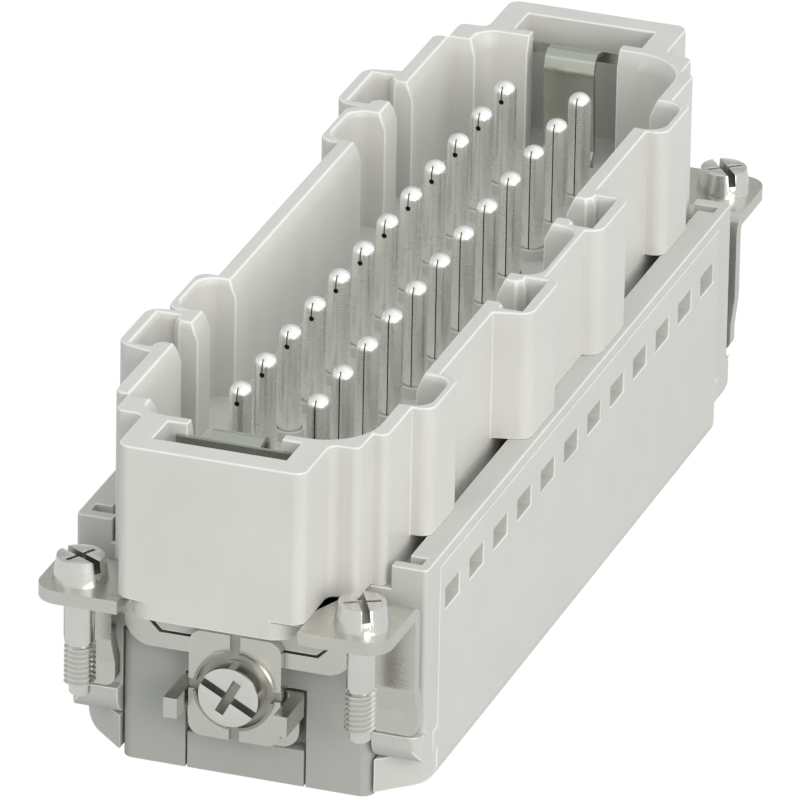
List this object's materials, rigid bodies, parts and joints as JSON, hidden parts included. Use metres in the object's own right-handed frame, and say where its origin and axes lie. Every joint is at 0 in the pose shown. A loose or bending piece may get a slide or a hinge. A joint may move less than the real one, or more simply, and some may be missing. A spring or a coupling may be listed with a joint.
{
  "type": "heavy duty rectangular connector insert",
  "caption": "Male insert of a heavy duty rectangular connector: moulded shroud round rows of contact pins, spring clamp block, earth clamps and captive fixing screws.",
  "frame": {"origin": "underside of the terminal block, midway between the four fixing screws", "axes": "X along the insert, +Z towards the mating side, -Y the side with the centre relief pocket"},
  "size_m": [0.1114, 0.0338, 0.0361],
  "materials": {
    "light_grey_plastic": "fine satin moulding",
    "grey_plastic": "fine satin moulding",
    "dark_grey_plastic": "fine satin moulding",
    "nickel_steel": "bright nickel plate, rolled sheet",
    "screw_steel": "bright nickel plate, turned",
    "spring_metal": "spring strip, dull",
    "silvered_copper": "silver plated copper alloy, satin"
  },
  "bodies": {
    "insert": {"shroud_housing": "light_grey_plastic", "carrier_frame": "grey_plastic", "terminal_block": "dark_grey_plastic", "side_panel_back": "grey_plastic", "side_panel_front": "grey_plastic", "earth_bracket_left": "nickel_steel", "earth_bracket_right": "nickel_steel", "earth_spring_left": "spring_metal", "earth_spring_right": "spring_metal", "clamp_bars_back": "silvered_copper", "clamp_bars_front": "silvered_copper", "clamp_springs_back": "spring_metal", "clamp_springs_front": "spring_metal", "contact_pin_01": "silvered_copper", "contact_pin_02": "silvered_copper", "contact_pin_03": "silvered_copper", "contact_pin_04": "silvered_copper", "contact_pin_05": "silvered_copper", "contact_pin_06": "silvered_copper", "contact_pin_07": "silvered_copper", "contact_pin_08": "silvered_copper", "contact_pin_09": "silvered_copper", "contact_pin_10": "silvered_copper", "contact_pin_11": "silvered_copper", "contact_pin_12": "silvered_copper", "contact_pin_13": "silvered_copper", "contact_pin_14": "silvered_copper", "contact_pin_15": "silvered_copper", "contact_pin_16": "silvered_copper", "contact_pin_17": "silvered_copper", "contact_pin_18": "silvered_copper", "contact_pin_19": "silvered_copper", "contact_pin_20": "silvered_copper", "contact_pin_21": "silvered_copper", "contact_pin_22": "silvered_copper", "contact_pin_23": "silvered_copper", "contact_pin_24": "silvered_copper"},
    "earth_saddle_left": {"earth_saddle_left": "nickel_steel"},
    "earth_screw_left": {"earth_screw_left": "screw_steel"},
    "earth_saddle_right": {"earth_saddle_right": "nickel_steel"},
    "earth_screw_right": {"earth_screw_right": "screw_steel"},
    "fixing_screw_left_front": {"fixing_screw_left_front": "screw_steel"},
    "fixing_screw_left_back": {"fixing_screw_left_back": "screw_steel"},
    "fixing_screw_right_front": {"fixing_screw_right_front": "screw_steel"},
    "fixing_screw_right_back": {"fixing_screw_right_back": "screw_steel"}
  },
  "joints": [
    {"name": "earth_saddle_left_slide", "type": "slide", "parent": "insert", "child": "earth_saddle_left", "axis": [-1, 0, 0], "range_m": [0, 0.0021]},
    {"name": "earth_screw_left_turn", "type": "hinge", "parent": "earth_saddle_left", "child": "earth_screw_left", "pos_m": [-0.0478, 0, 0.0102], "axis": [-1, 0, 0], "range_deg": [0, 1080]},
    {"name": "earth_saddle_right_slide", "type": "slide", "parent": "insert", "child": "earth_saddle_right", "axis": [1, 0, 0], "range_m": [0, 0.0021]},
    {"name": "earth_screw_right_turn", "type": "hinge", "parent": "earth_saddle_right", "child": "earth_screw_right", "pos_m": [0.0478, 0, 0.0102], "axis": [1, 0, 0], "range_deg": [0, 1080]},
    {"name": "fixing_screw_left_front_turn", "type": "hinge", "parent": "insert", "child": "fixing_screw_left_front", "pos_m": [-0.052, -0.0135, 0.021], "axis": [0, 0, 1], "continuous": true},
    {"name": "fixing_screw_left_back_turn", "type": "hinge", "parent": "insert", "child": "fixing_screw_left_back", "pos_m": [-0.052, 0.0135, 0.021], "axis": [0, 0, 1], "continuous": true},
    {"name": "fixing_screw_right_front_turn", "type": "hinge", "parent": "insert", "child": "fixing_screw_right_front", "pos_m": [0.052, -0.0135, 0.021], "axis": [0, 0, 1], "continuous": true},
    {"name": "fixing_screw_right_back_turn", "type": "hinge", "parent": "insert", "child": "fixing_screw_right_back", "pos_m": [0.052, 0.0135, 0.021], "axis": [0, 0, 1], "continuous": true}
  ],
  "couplings": [
    {"joint": "earth_screw_left_turn", "follows": "earth_saddle_left_slide", "rad_per_m": 8976},
    {"joint": "earth_screw_right_turn", "follows": "earth_saddle_right_slide", "rad_per_m": 8976}
  ]
}
